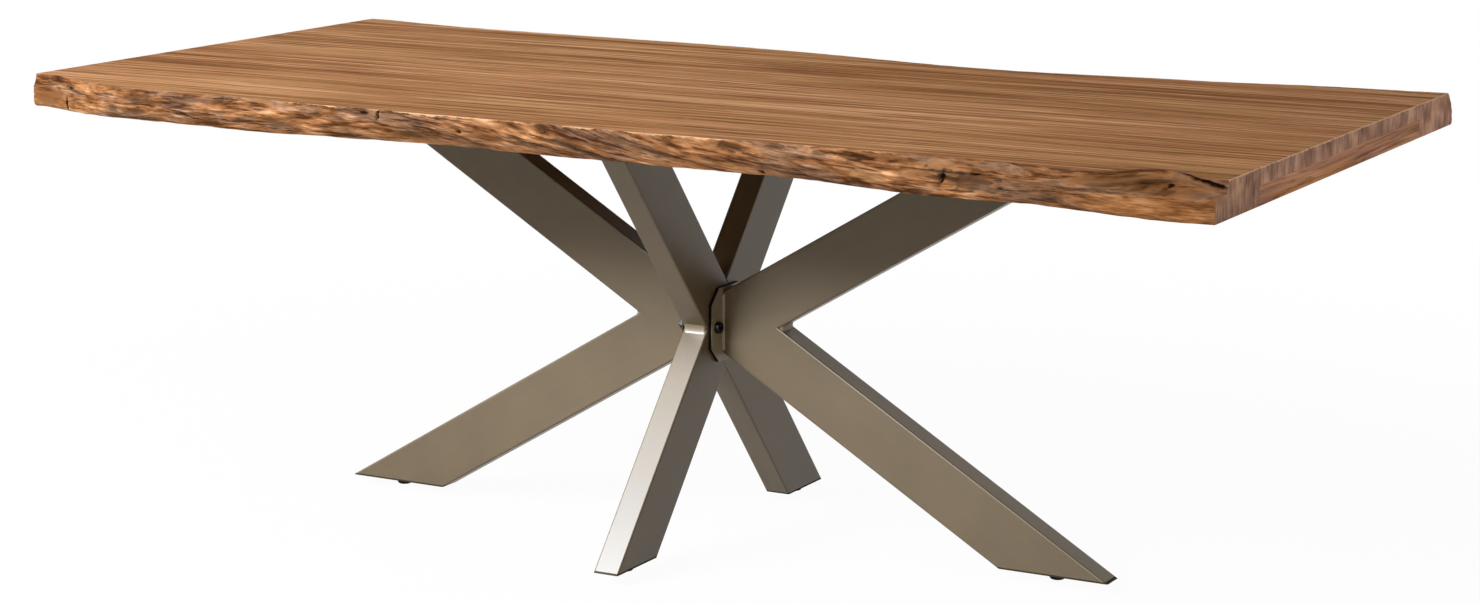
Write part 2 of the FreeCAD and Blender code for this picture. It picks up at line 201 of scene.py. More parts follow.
def planed_sheesham(name, turn, palette, sapwood, dark_lines, painted_light_slope, ends_show):
    """Planed wood with its grain along X, or turned about Z, in four colours from dark to light."""
    material, shader, place = new_finish(name)
    x, _, z = split(place)
    turned = place.add("ShaderNodeMapping", None, {"Vector": place, "Rotation": (0, 0, turn)})
    along, across, level = split(turned)
    board = place.math("FLOOR", (across + board_count / 2 * board_width) / board_width)
    board_tone = place.add(
        "ShaderNodeTexWhiteNoise", {"noise_dimensions": "1D"}, {"W": board}, "Value"
    )
    wander = stretched(turned, (1.1, 6, 6), 2.0) - 0.5
    grain = joined(along + board * 3.7, across + wander * 0.03, level + wander * 0.02)
    bands = stretched(grain, (0.7, 10, 10), 2.0)
    streaks = stretched(grain, (1.7, 92, 78), 4.0)
    fine = stretched(grain, (2.6, 330, 260), 3.0)
    figure = bands * 0.24 + streaks * 0.42 + fine * 0.34 + board_tone * 0.03 - 0.015
    golden = ramp(figure, *zip((0.39, 0.465, 0.535, 0.625), palette))
    rosy = golden.add("ShaderNodeHueSaturation", None, {"Hue": 0.496, "Color": golden})
    colour = blend(fade(stretched(grain, (1.3, 7, 7), 2.0), 0.42, 0.6), golden, rosy)
    sap = fade(stretched(grain, (2.6, 24, 24), 3.0), 0.52, 0.62)
    colour = blend(sap * sapwood, colour, tone(200, 142, 88))
    gum = 1 - fade(stretched(grain, (1.7, 52, 46), 4.0), 0.36, 0.42)
    colour = blend(gum * 0.4, colour, tone(98, 64, 42))
    lines = 1 - fade(stretched(grain, (2.8, 130, 105), 3.0), 0.33, 0.38)
    colour = blend(lines * dark_lines, colour, tone(80, 50, 33))
    pores = fade(stretched(grain, (14, 620, 500), 1.0), 0.62, 0.7)
    colour = blend(pores * 0.5, colour, tone(90, 56, 37))
    flecks = fade(stretched(place, (45, 200, 60), 1.0), 0.73, 0.78)
    colour = blend(flecks * 0.35, colour, tone(216, 174, 130))
    clouds = stretched(place, (1.3, 2.6, 1), 1.0) - 0.5
    # The change of value along X is painted light: the top is darker towards the right and the end
    # strips darker at the left end, as the light falls. The clouds are the wood's own tone.
    colour = shaded(colour, 1.0 + painted_light_slope * x + 0.2 * clouds)
    if ends_show:
        colour = shaded(colour, 0.5 + 0.5 * fade(z, seam_level + 0.0002, seam_level + 0.0006))
        end = fade(abs(x), half_length - 0.0006, half_length - 0.0003)
        colour = blend(end, colour, end_grain(place))
    roughness = 0.68 + 0.16 * (streaks - 0.5) + 0.1 * pores
    feed(shader, Base_Color=colour, Roughness=roughness)
    feed(shader, Normal=bump(streaks * 0.5 + fine * 0.5 - pores * 0.6, 0.0006))
    shader.inputs["Specular IOR Level"].default_value = 0.0
    return material


top_palette = (tone(109, 74, 47), tone(153, 108, 72), tone(181, 135, 94), tone(210, 168, 126))
planed_wood = planed_sheesham(
    "planed_sheesham",
    turn=0.0,
    palette=top_palette,
    sapwood=0.0,
    dark_lines=0.85,
    painted_light_slope=-0.05,
    ends_show=True,
)
dress(planed_wood, *[f"top_board_{number + 1}" for number in range(board_count)])


# Live edges
# The outer boards keep the trunk's wavy outside, and a strip glued under each carries it on down.
# The bark is off: the bare sapwood is chipped, hollowed, split and knotty, then brushed and oiled.

under_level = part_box("front_live_edge_strip")[0].z
seam_drop = (top_level - seam_level) / (top_level - under_level)
same_level = 1e-5
column_width = 0.002
row_height = 0.0014
unshaped_reach = 1.0
behind_rim = (0.025, 0.008, 0.0025)
slant_middle = 0.12
slant_spread = 0.32
slant = 0.21
swell_depth = 0.0026
torn_depth = 0.0034
ridge_depth = 0.0017
fibre_depth = 0.0006
full_hollow = 0.009
mark_reach = 2.2
raggedness = 0.9
least_ragged = 0.25
rim_calm = 0.7
lower_calm = 0.5
rim_chip_height = 0.0042
least_chip = 0.0012
long_chip_depth = 0.003
short_chip_depth = 0.004
lower_round_height = 0.006
lower_round_depth = 0.003
lower_wave = 0.0015
ledge_start = 0.88
ledge_length = 0.15
ledge_drop = 0.34
ledge_height = 0.07
ledge_share = 0.8
flare_start = 0.75
flare_length = 0.35
flare_at_rim = 0.014
flare_below_rim = 0.034


def edge_line(node, level, side):
    """Places along the table and reaches from its middle of a slab's natural edge, at one level."""
    reaches = {}
    for vertex in nodes[node].data.vertices:
        if abs(vertex.co.z - level) < same_level:
            place = round(vertex.co.x, 5)
            reaches[place] = max(reaches.get(place, 0.0), side * vertex.co.y)
    places = sorted(reaches)
    return places, [reaches[place] for place in places]


def clamped(value):
    return min(max(value, 0.0), 1.0)


def mark_weight(mark, x, z):
    """How strongly a knot, hollow, split or ridge acts at one point of the edge, from 0 to 1."""
    along = (x - mark["x"]) / mark["long"]
    if abs(along) > mark_reach:
        return 0.0
    rise = (z - mark["z"] - mark.get("slope", 0.0) * (x - mark["x"])) / mark["high"]
    ragged = 1 + raggedness * noise.fractal(Vector((x * 55, z * 170, mark["x"])), 0.8, 2.0, 3)
    return math.exp(-((along * along + rise * rise) * max(ragged, least_ragged)) ** 2)


def worn_face(x, z, seed, marks):
    """How far the weathered face stands out from its smooth line, how dark it is from stain and
    painted shade, and how smooth.
    """
    level = z + slant * slant_spread * math.tanh((x - slant_middle) / slant_spread)
    swell = noise.noise(Vector((x * 5, level * 14, seed)))
    torn = noise.fractal(Vector((x * 15, level * 56, seed + 7)), 0.7, 2.1, 4)
    ridge = 1 - 2 * abs(noise.noise(Vector((x * 22, level * 110, seed + 13))))
    fibre = noise.noise(Vector((x * 70, level * 420, seed + 19)))
    push = swell_depth * swell + torn_depth * torn + ridge_depth * ridge + fibre_depth * fibre
    stain_and_shade = 0.0
    calm = 0.0
    for mark in marks:
        weight = mark_weight(mark, x, z)
        push += weight * mark.get("push", 0.0)
        stain_and_shade += weight * mark.get("stain_and_shade", 0.0)
        calm = max(calm, weight * mark.get("calm", 0.0))
    return push * (1 - calm), stain_and_shade, calm


def front_ending(x, drop, rim, foot, line):
    """Near its right end the front is hollow under its rim, down to a ledge, and then straight."""
    part = clamped((x - ledge_start) / ledge_length)
    rise = clamped((drop - ledge_drop) / ledge_height)
    out = ledge_share * rise * rise * (3 - 2 * rise) + (1 - ledge_share) * drop
    return line + part * (rim + (foot - rim) * out - line)


def back_ending(x, drop, rim, foot, line):
    """Near its right end the back flares out towards its lower edge."""
    part = clamped((x - flare_start) / flare_length)
    return line + part * part * (flare_at_rim + flare_below_rim * drop)


def sweep(section, length, cuts):
    """A new mesh: a closed section swept along X, and cut across."""
    mesh = bmesh.new()
    near = [mesh.verts.new((-length / 2, reach, level)) for reach, level in section]
    loop = [mesh.edges.new((start, end)) for start, end in zip(near, near[1:] + near[:1])]
    swept = bmesh.ops.extrude_edge_only(mesh, edges=loop)["geom"]
    far = [item for item in swept if isinstance(item, bmesh.types.BMVert)]
    bmesh.ops.translate(mesh, verts=far, vec=(length, 0, 0))
    bmesh.ops.holes_fill(mesh, edges=mesh.edges[:], sides=0)
    long_edges = [edge for edge in mesh.edges if edge.verts[0].co.x != edge.verts[1].co.x]
    bmesh.ops.subdivide_edges(mesh, edges=long_edges, cuts=cuts, use_grid_fill=True)
    return mesh


def live_edge(name, side, seed, marks, ending, replaced):
    """Sweep the slab's section along the table, then push its outer face to the natural line."""
    board, strip = replaced
    lines = [
        edge_line(board, top_level, side),
        edge_line(board, seam_level, side),
        edge_line(strip, under_level, side),
    ]
    board_inner = min(abs(corner.y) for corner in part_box(board))
    strip_inner = min(abs(corner.y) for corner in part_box(strip))
    rows = round((top_level - under_level) / row_height)
    columns = round(2 * half_length / column_width)
    face_levels = [top_level + (under_level - top_level) * row / rows for row in range(rows + 1)]
    section = [(board_inner, top_level)]
    section += [(unshaped_reach + gap, top_level) for gap in behind_rim]
    section += [(unshaped_reach, level) for level in face_levels]
    section += [(strip_inner, under_level), (strip_inner, seam_level), (board_inner, seam_level)]

    mesh = sweep(section, 2 * half_length, columns - 1)
    hollow_layer = mesh.verts.layers.float.new("hollow")
    stain_and_shade_layer = mesh.verts.layers.float.new("stain_and_shade")
    calm_layer = mesh.verts.layers.float.new("calm")
    face_verts = {vert for vert in mesh.verts if vert.co.y == unshaped_reach}
    natural_faces = [face for face in mesh.faces if face_verts.issuperset(face.verts)]

    along = [vert.co.x for vert in mesh.verts]
    rims, seams, feet = [np.interp(along, places, reaches) for places, reaches in lines]
    for vert, rim, seam, foot in zip(mesh.verts, rims, seams, feet):
        x, reach, z = vert.co
        if reach >= unshaped_reach:
            gap = reach - unshaped_reach
            drop = (top_level - z) / (top_level - under_level)
            line = (
                rim * (drop - seam_drop) * (drop - 1) / seam_drop
                + seam * drop * (drop - 1) / (seam_drop * (seam_drop - 1))
                + foot * drop * (drop - seam_drop) / (1 - seam_drop)
            )
            line = ending(x, drop, rim, foot, line)
            push, stain_and_shade, calm = worn_face(x, z, seed, marks)
            long_chip = max(0.0, noise.noise(Vector((x * 38, 3, seed))) + 0.15)
            short_chip = max(0.0, noise.noise(Vector((x * 110, 9, seed))) - 0.3)
            chip = least_chip + long_chip_depth * long_chip + short_chip_depth * short_chip
            near_rim = max(0.0, 1 - (top_level - z) / rim_chip_height)
            near_foot = max(0.0, 1 - (z - under_level) / lower_round_height)
            line += push * (1 - near_rim * rim_calm - near_foot * lower_calm)
            line -= chip * near_rim + lower_round_depth * near_foot ** 2
            vert.co.y = line - gap
            foot_wave = max(0.0, noise.noise(Vector((x * 30, 5, seed))))
            vert.co.z += near_foot * lower_wave * foot_wave
            vert[hollow_layer] = clamped(0.5 - push / full_hollow)
            vert[stain_and_shade_layer] = stain_and_shade
            vert[calm_layer] = calm
        vert.co.y *= side
    bmesh.ops.recalc_face_normals(mesh, faces=mesh.faces[:])

    for face in natural_faces:
        face.material_index = 1
        face.smooth = True
    for edge in mesh.edges:
        edge.smooth = len({face.material_index for face in edge.link_faces}) == 1
    data = bpy.data.meshes.new(name)
    mesh.to_mesh(data)
    mesh.free()
    slab = bpy.data.objects.new(name, data)
    bpy.context.scene.collection.objects.link(slab)
    data.materials.append(planed_wood)
    data.materials.append(natural_edge)
    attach(slab, "table")
    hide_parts(*replaced)


natural_edge, edge_shader, edge_place = new_finish("natural_edge")
edge_x, edge_y, edge_z = split(edge_place)
edge_lean = edge_place.math("TANH", (edge_x - slant_middle) / slant_spread) * (slant * slant_spread)
leaned = joined(edge_x, edge_y, edge_z + edge_lean)
hollow, stain_and_shade, calm = [
    edge_place.add("ShaderNodeAttribute", {"attribute_name": name}, None, "Fac")
    for name in ("hollow", "stain_and_shade", "calm")
]
patches = stretched(leaned, (9, 2, 52), 6.0)
torn_streaks = stretched(leaned, (20, 4, 130), 5.0)
torn_fibres = stretched(leaned, (50, 8, 520), 3.0)
edge_figure = patches * 0.34 + torn_streaks * 0.4 + torn_fibres * 0.26
edge_colour = ramp(
    edge_figure,
    (0.4, tone(72, 46, 28)),
    (0.46, tone(124, 82, 51)),
    (0.53, tone(166, 117, 78)),
    (0.61, tone(214, 166, 124)),
)
greyed = ramp(
    edge_figure,
    (0.4, tone(50, 38, 33)),
    (0.5, tone(106, 82, 68)),
    (0.61, tone(174, 136, 108)),
)
grey = fade(stretched(leaned, (6, 2, 42), 5.0) + 0.6 * (torn_streaks - 0.5), 0.51, 0.57)
edge_colour = blend(grey * 0.7, edge_colour, greyed)
calm_figure = patches * 0.3 + torn_streaks * 0.3 + torn_fibres * 0.4
calm_colour = ramp(
    calm_figure,
    (0.4, tone(104, 67, 36)),
    (0.5, tone(143, 95, 57)),
    (0.62, tone(178, 127, 82)),
)
edge_colour = blend(calm, edge_colour, calm_colour)
torn = (patches - 0.5) * 0.8 + (torn_streaks - 0.5) * 0.9 + (torn_fibres - 0.5) * 0.8
rough_part = 1 - 0.8 * calm
# The hollow attribute paints shade into hollows and highlight onto raised parts, and the marks add
# stain and painted shade. The torn noise gives the wood's own dark and pale patches.
dark_patches_and_shade = fade((torn + (hollow - 0.5) * 0.35) * rough_part + stain_and_shade * 0.3, 0.06, 0.34)
pale_patches_and_highlight = fade((torn_streaks - 0.5) * 0.5 - (hollow - 0.5) * 0.45 - stain_and_shade * 0.2, 0.04, 0.2)
edge_colour = shaded(edge_colour, 1 + 0.2 * pale_patches_and_highlight * rough_part - 0.66 * dark_patches_and_shade)
# Near-black where the marks are darkest: painted shade in holes, splits and crevices.
pit_shade = fade(stain_and_shade + 1.2 * (torn_fibres - 0.5), 0.75, 1.1)
edge_colour = blend(pit_shade, edge_colour, tone(34, 21, 13))
cracks = fade(stretched(leaned, (13, 3, 210), 4.0), 0.59, 0.64) * rough_part
edge_colour = blend(cracks * 0.7, edge_colour, tone(58, 37, 26))
# A broken pale line just under the rim: chipped fresh wood, and partly a painted highlight on the
# chipped arris. It is left out towards both ends.
rim_wave = (stretched(edge_place, (45, 1, 1), 4.0) - 0.5) * 0.012
pale_rim_and_highlight = fade(edge_z + rim_wave, top_level - 0.0018, top_level - 0.0008)
pale_rim_and_highlight = pale_rim_and_highlight * fade(stretched(edge_place, (11, 1, 1), 4.0), 0.38, 0.5)
pale_rim_and_highlight = pale_rim_and_highlight * fade(edge_x, -0.62, -0.4) * (1 - fade(edge_x, 0.5, 0.64))
edge_colour = blend(pale_rim_and_highlight * 0.8, edge_colour, tone(224, 180, 138))
# Painted shade: the edge is painted darker towards the right, as the light falls off.
edge_colour = shaded(edge_colour, 0.98 - 0.05 * edge_x)
feed(edge_shader, Base_Color=edge_colour, Roughness=0.66 + 0.2 * (torn_streaks - 0.5))
edge_relief = patches * 0.46 + torn_streaks * 0.4 + torn_fibres * 0.14 - cracks * 0.15
feed(edge_shader, Normal=bump(edge_relief, 0.006))
edge_shader.inputs["Specular IOR Level"].default_value = 0.0

# Knots, hollows, splits and ridges: each has its middle, half length and half height, and may say
# how far it stands out, how dark it is, how it slopes and how far it calms the torn face. The
# darkness is partly stain and partly painted shade in hollows, crevices and under ridges; below 0
# it paints highlight on a ridge.
front_marks = (
    dict(x=-1.06, z=0.733, long=0.056, high=0.022, stain_and_shade=0.66, calm=0.8),
    dict(x=-1.008, z=0.727, long=0.003, high=0.012, push=-0.006, stain_and_shade=1.1),
    dict(x=-0.997, z=0.758, long=0.016, high=0.005, push=-0.002, stain_and_shade=0.6),
    dict(x=-0.868, z=0.748, long=0.014, high=0.008, push=0.002, stain_and_shade=-0.6),
    dict(x=-0.81, z=0.757, long=0.04, high=0.01, push=-0.004, stain_and_shade=0.55, slope=-0.1),
    dict(x=-0.87, z=0.735, long=0.016, high=0.006, push=-0.003, stain_and_shade=0.6),
    dict(x=-0.825, z=0.733, long=0.034, high=0.005, push=-0.003, stain_and_shade=0.6),
    dict(x=-0.712, z=0.738, long=0.015, high=0.0045, push=-0.007, stain_and_shade=1.1, slope=-0.2),
    dict(x=-0.712, z=0.741, long=0.022, high=0.01, push=0.003, stain_and_shade=-0.3),
    dict(x=-0.65, z=0.761, long=0.028, high=0.006, push=-0.003, stain_and_shade=0.6),
    dict(x=-0.662, z=0.724, long=0.038, high=0.006, push=-0.003, stain_and_shade=0.75),
    dict(x=-0.642, z=0.746, long=0.032, high=0.0025, push=-0.002, stain_and_shade=0.6),
    dict(x=-0.519, z=0.736, long=0.055, high=0.01, push=-0.003, stain_and_shade=0.4, slope=-0.1),
    dict(x=-0.448, z=0.755, long=0.024, high=0.0035, push=-0.002, stain_and_shade=0.6),
    dict(x=-0.405, z=0.722, long=0.03, high=0.005, push=-0.002, stain_and_shade=0.65),
    dict(x=-0.353, z=0.7635, long=0.01, high=0.0026, push=-0.006, stain_and_shade=1.1),
    dict(x=-0.327, z=0.763, long=0.0022, high=0.011, push=-0.006, stain_and_shade=1.1),
    dict(x=-0.281, z=0.733, long=0.042, high=0.007, push=-0.003, stain_and_shade=0.5),
    dict(x=-0.212, z=0.755, long=0.034, high=0.007, push=0.002, stain_and_shade=-0.45, slope=-0.1),
    dict(x=-0.173, z=0.7465, long=0.005, high=0.003, push=-0.006, stain_and_shade=1.2),
    dict(x=-0.122, z=0.741, long=0.034, high=0.009, push=-0.003, stain_and_shade=0.4, slope=-0.1),
    dict(x=-0.015, z=0.764, long=0.022, high=0.005, push=-0.004, stain_and_shade=0.7, slope=-0.15),
    # A painted shadow under the ridge, then the ridge itself painted pale as highlight.
    dict(x=0.055, z=0.732, long=0.06, high=0.009, push=-0.005, stain_and_shade=0.35, slope=-0.42),
    dict(x=0.108, z=0.736, long=0.06, high=0.0042, push=0.007, stain_and_shade=-1.1, slope=-0.42),
    dict(x=0.15, z=0.75, long=0.06, high=0.014, push=-0.004, stain_and_shade=0.3, slope=-0.15),
    dict(x=0.21, z=0.763, long=0.012, high=0.006, push=-0.003, stain_and_shade=0.7, slope=-0.3),
    dict(x=0.318, z=0.761, long=0.027, high=0.006, push=-0.004, stain_and_shade=0.7, slope=-0.1),
    dict(x=0.36, z=0.722, long=0.0045, high=0.003, push=-0.006, stain_and_shade=1.2),
    dict(x=0.389, z=0.765, long=0.013, high=0.003, push=-0.002, stain_and_shade=0.6),
    dict(x=0.455, z=0.739, long=0.03, high=0.004, push=0.003, stain_and_shade=-0.6, slope=-0.3),
    dict(x=0.477, z=0.764, long=0.021, high=0.004, push=-0.003, stain_and_shade=0.65),
    dict(x=0.582, z=0.763, long=0.045, high=0.0055, push=-0.003, stain_and_shade=0.65, slope=-0.05),
    dict(x=0.588, z=0.737, long=0.011, high=0.009, push=0.002, stain_and_shade=-0.8),
    dict(x=0.655, z=0.734, long=0.022, high=0.006, push=0.003, stain_and_shade=-0.6, slope=-0.15),
    dict(x=0.671, z=0.741, long=0.0035, high=0.011, push=-0.007, stain_and_shade=1.1),
    dict(x=0.682, z=0.731, long=0.01, high=0.007, push=0.002, stain_and_shade=-0.6),
    dict(x=0.715, z=0.739, long=0.042, high=0.011, push=-0.006, stain_and_shade=0.4),
    dict(x=0.723, z=0.7515, long=0.035, high=0.002, push=-0.003, stain_and_shade=0.7),
    dict(x=0.85, z=0.729, long=0.018, high=0.007, push=-0.002, stain_and_shade=0.6),
    dict(x=0.981, z=0.7545, long=0.026, high=0.0036, push=-0.002, stain_and_shade=0.5, slope=0.06),
    dict(x=0.985, z=0.757, long=0.13, high=0.011, push=-0.002, stain_and_shade=0.4, calm=0.5),
    dict(x=1.008, z=0.752, long=0.0055, high=0.0022, push=-0.005, stain_and_shade=1.1),
    dict(x=1.01, z=0.729, long=0.14, high=0.019, calm=0.95),
    # Deep crevices under the rim near the right end, darkened with painted shade.
    dict(x=1.04, z=0.7665, long=0.03, high=0.0018, push=-0.012, stain_and_shade=1.0, slope=-0.16),
    dict(x=1.078, z=0.7615, long=0.022, high=0.0026, push=-0.016, stain_and_shade=1.2, slope=-0.16),
)
back_marks = (
    dict(x=0.8, z=0.742, long=0.016, high=0.007, push=-0.006, stain_and_shade=1.1),
    dict(x=0.8, z=0.744, long=0.03, high=0.013, push=0.003, stain_and_shade=-0.3),
    dict(x=0.52, z=0.754, long=0.06, high=0.007, push=-0.003, stain_and_shade=0.6),
    dict(x=0.21, z=0.73, long=0.05, high=0.008, push=-0.003, stain_and_shade=0.5),
    dict(x=-0.06, z=0.757, long=0.0025, high=0.014, push=-0.005, stain_and_shade=1.0),
    dict(x=-0.3, z=0.736, long=0.06, high=0.005, push=0.004, stain_and_shade=-0.7, slope=-0.3),
    dict(x=-0.55, z=0.75, long=0.05, high=0.007, push=-0.003, stain_and_shade=0.6),
    dict(x=-0.84, z=0.728, long=0.012, high=0.006, push=-0.006, stain_and_shade=1.1),
)
front_nodes = ("front_live_edge_board", "front_live_edge_strip")
back_nodes = ("back_live_edge_board", "back_live_edge_strip")
live_edge("front_live_edge", -1, 11.3, front_marks, front_ending, front_nodes)
live_edge("back_live_edge", 1, 47.9, back_marks, back_ending, back_nodes)


# End strips
# Two strips glued under the sawn ends, with their grain across the table. Their long side shows
# below the boards' end grain, redder and with streaks of orange sapwood.

quarter = math.pi / 2
strip_palette = (tone(110, 75, 59), tone(160, 117, 92), tone(188, 139, 108), tone(222, 166, 123))
strip_wood = planed_sheesham(
    "end_strip_sheesham",
    turn=quarter,
    palette=strip_palette,
    sapwood=0.5,
    dark_lines=0.35,
    painted_light_slope=0.2,
    ends_show=False,
)
dress(strip_wood, "left_end_strip", "right_end_strip")


# Bearers
# Three planed cross battens under the boards, with their grain across the table. The base is bolted
# to them, and they are screwed up into the five inner boards.

bearer_palette = (tone(74, 47, 29), tone(102, 68, 43), tone(119, 82, 53), tone(141, 100, 66))
bearer_wood = planed_sheesham(
    "bearer_sheesham",
    turn=quarter,
    palette=bearer_palette,
    sapwood=0.2,
    dark_lines=0.85,
    painted_light_slope=0.0,
    ends_show=False,
)
dress(bearer_wood, "left_bearer", "centre_bearer", "right_bearer")


# Screws, inserts, bolts and washers
# Small zinc-plated steel fasteners: screws and inserts in the bearers, the bolts and washers that
# hold the base to them, and the weld nuts and studs of the feet.

zinc, zinc_shader, zinc_place = new_finish("zinc_plate")
zinc_bloom = stretched(zinc_place, (70, 70, 70), 3.0)
zinc_scuff = stretched(zinc_place, (600, 600, 600), 2.0)
zinc_colour = ramp(zinc_bloom, (0.3, tone(150, 146, 136)), (0.7, tone(196, 194, 188)))
feed(zinc_shader, Base_Color=zinc_colour)
feed(zinc_shader, Roughness=0.26 + 0.3 * zinc_bloom)
feed(zinc_shader, Normal=bump(zinc_scuff, 0.0002))
zinc_shader.inputs["Metallic"].default_value = 1.0
sides = ("left", "right", "front", "back")
dress(zinc, "bearer_screws", "threaded_inserts", "mounting_bolts", "mounting_washers", "foot_nuts")
dress(zinc, *[f"{side}_glide_stud" for side in sides])


# Tube legs
# Rectangular steel tube with a brushed nickel finish under clear lacquer. The cross frame is one
# whole tube with two halves welded to it, and each V frame is two mitred tubes.

vee_lean = math.radians(30.9)
cross_lean = math.radians(49.6)
lacquer = 0.75


def brushed_nickel(name, turn, dark, light, coat=lacquer, face_reach=0.0):
    """Brushed metal under lacquer, scratched along X after a turn, painted darker low down. Edges
    behind a face get painted shade.
    """
    material, shader, place = new_finish(name)
    along = place.add("ShaderNodeMapping", None, {"Vector": place, "Rotation": turn})
    scratches = stretched(along, (4, 900, 900), 2.0)
    hairlines = stretched(along, (14, 2600, 2600), 1.0)
    clouds = stretched(place, (7, 7, 7), 3.0)
    colour = ramp(clouds * 0.6 + scratches * 0.4, (0.3, dark), (0.7, light))
    x, _, z = split(place)
    # Painted light: paler at hub height and darker towards the feet, a little dimmer above the hub.
    colour = shaded(colour, 0.88 + 0.22 * fade(z, 0.0, 0.33) - 0.06 * fade(z, 0.36, 0.5))
    shader.inputs["Coat Weight"].default_value = coat
    if face_reach:
        # Painted shade: the cut edges behind the face are dark and unlacquered, as a shadow gap.
        cut_edge_shade = 1 - fade(abs(x), face_reach - 0.0007, face_reach - 0.0003)
        colour = blend(cut_edge_shade, colour, tone(24, 19, 15))
        feed(shader, Coat_Weight=coat - coat * cut_edge_shade)
    roughness = 0.7 + 0.14 * (scratches - 0.5) + 0.14 * (clouds - 0.5)
    feed(shader, Base_Color=colour, Roughness=roughness)
    feed(shader, Normal=bump(scratches * 0.6 + hairlines * 0.4, 0.00004))
    shader.inputs["Metallic"].default_value = 0.3
    shader.inputs["Specular IOR Level"].default_value = 0.0
    shader.inputs["Coat Roughness"].default_value = 0.36
    return material


tube_tones = (tone(80, 66, 45), tone(92, 77, 53))
falling_right = brushed_nickel("brushed_nickel_falling_right", (0, -vee_lean, 0), *tube_tones)
rising_right = brushed_nickel("brushed_nickel_rising_right", (0, vee_lean, 0), *tube_tones)
falling_back = brushed_nickel("brushed_nickel_falling_back", (cross_lean, 0, -quarter), *tube_tones)
rising_back = brushed_nickel("brushed_nickel_rising_back", (-cross_lean, 0, -quarter), *tube_tones)
dress(falling_right, "left_upper_leg", "right_lower_leg")
dress(rising_right, "left_lower_leg", "right_upper_leg")
dress(falling_back, "cross_long_leg")
dress(rising_back, "front_lower_leg", "back_upper_leg")


# Plates of the base
# Flat steel in the same finish: a hub plate with cut corners on each V frame, four mounting plates
# under the bearers, and the caps that close the feet. The hub plates are painted lighter, as light
# on their shaded faces. Caps and cut hub edges are painted darker and dull, as painted shade.

hub_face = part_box("right_hub_plate")[1].x
# The hub plates are a lighter copy of the tube finish: painted light on faces that sit in shade.
hub_tones_painted_lighter = (tone(112, 98, 77), tone(128, 113, 89))
hub_finish = brushed_nickel("brushed_nickel_hub", (0, quarter, 0), *hub_tones_painted_lighter, face_reach=hub_face)
dress(hub_finish, "left_hub_plate", "right_hub_plate")
mounting_tones = (tone(96, 81, 59), tone(108, 92, 68))
mounting_finish = brushed_nickel("brushed_nickel_mounting", (0, 0, 0), *mounting_tones)
dress(mounting_finish, *[f"{side}_mounting_plate" for side in sides])
# The foot caps are a darker copy without lacquer: painted shade at the feet.
cap_tones_painted_darker = (tone(52, 44, 33), tone(61, 52, 39))
cap_finish = brushed_nickel("brushed_nickel_cap", (0, 0, 0), *cap_tones_painted_darker, coat=0.0)
dress(cap_finish, *[f"{side}_foot_cap" for side in sides])


# Weld beads
# Rippled beads in the corners of the frames, ground lightly and finished with the tubes. The
# upright beads beside the hub plates are smaller.

# The beads are a lighter copy of the tube finish: a painted highlight.
bead_tones_painted_lighter = (tone(112, 98, 78), tone(130, 115, 93))
bead_finish = brushed_nickel("brushed_nickel_bead", (0, 0, 0), *bead_tones_painted_lighter)
bead_facets = 8
crease = math.radians(40)
cuts_per_ripple = 6
ripple_pitch = 0.0034
ripple_depth = 0.0005
ripple_bow = 0.3
bead_end = 0.004
end_fullness = 0.4
crotch_leg = 0.01
crotch_hollow = 0.0018
plate_leg = 0.004
plate_hollow = 0.0008


def weld_beads(name, length, leg, hollow, corners):
    """Fill corners, each with its half angle and its place, in place of the node of that name."""
    mesh = bmesh.new()
    data = bpy.data.meshes.new(name + "_rippled")
    for half_angle, place in corners:
        reach = leg * math.cos(half_angle)
        half_width = leg * math.sin(half_angle)
        steps = [2 * step / bead_facets - 1 for step in range(bead_facets + 1)]
        face = [(reach - hollow * (1 - step * step), half_width * step) for step in steps]
        bead = sweep([(0.0, 0.0)] + face, length, round(cuts_per_ripple * length / ripple_pitch))
        for vert in bead.verts:
            end = clamped((length / 2 - abs(vert.co.x)) / bead_end)
            fullness = end_fullness + (1 - end_fullness) * math.sqrt(end * (2 - end))
            crest = vert.co.x / ripple_pitch + ripple_bow * (vert.co.z / half_width) ** 2
            ripple = ripple_depth * abs(math.sin(math.pi * crest)) if vert.co.y > 0 else 0.0
            vert.co.y = (vert.co.y + ripple) * fullness
            vert.co.z *= fullness
        bmesh.ops.transform(bead, matrix=place, verts=bead.verts[:])
        bead.to_mesh(data)
        bead.free()
        mesh.from_mesh(data)
    bmesh.ops.recalc_face_normals(mesh, faces=mesh.faces[:])
    for face in mesh.faces:
        face.smooth = True
    for edge in mesh.edges:
        edge.smooth = edge.calc_face_angle(0.0) < crease
    mesh.to_mesh(data)
    mesh.free()
    data.materials.append(bead_finish)
    beads = bpy.data.objects.new(name + "_rippled", data)
    bpy.context.scene.collection.objects.link(beads)
    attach(beads, "table")
    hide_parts(name)


cross_low, cross_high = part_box("cross_frame_welds")
cross_middle = (cross_low + cross_high) / 2
cross_reach = cross_high.y - crotch_leg * math.cos(cross_lean)
cross_rise = cross_high.z - cross_middle.z - crotch_leg * math.sin(cross_lean)
cross_corners = []
for quarter_turns, out, half_angle in (
    (0, cross_reach, cross_lean),
    (1, cross_rise, quarter - cross_lean),
    (2, cross_reach, cross_lean),
    (3, cross_rise, quarter - cross_lean),
):
    turn = Matrix.Rotation(quarter_turns * quarter, 4, "X")
    place = Matrix.Translation(cross_middle) @ turn @ Matrix.Translation((0, out, 0))
    cross_corners.append((half_angle, place))
cross_length = cross_high.x - cross_low.x
weld_beads("cross_frame_welds", cross_length, crotch_leg, crotch_hollow, cross_corners)

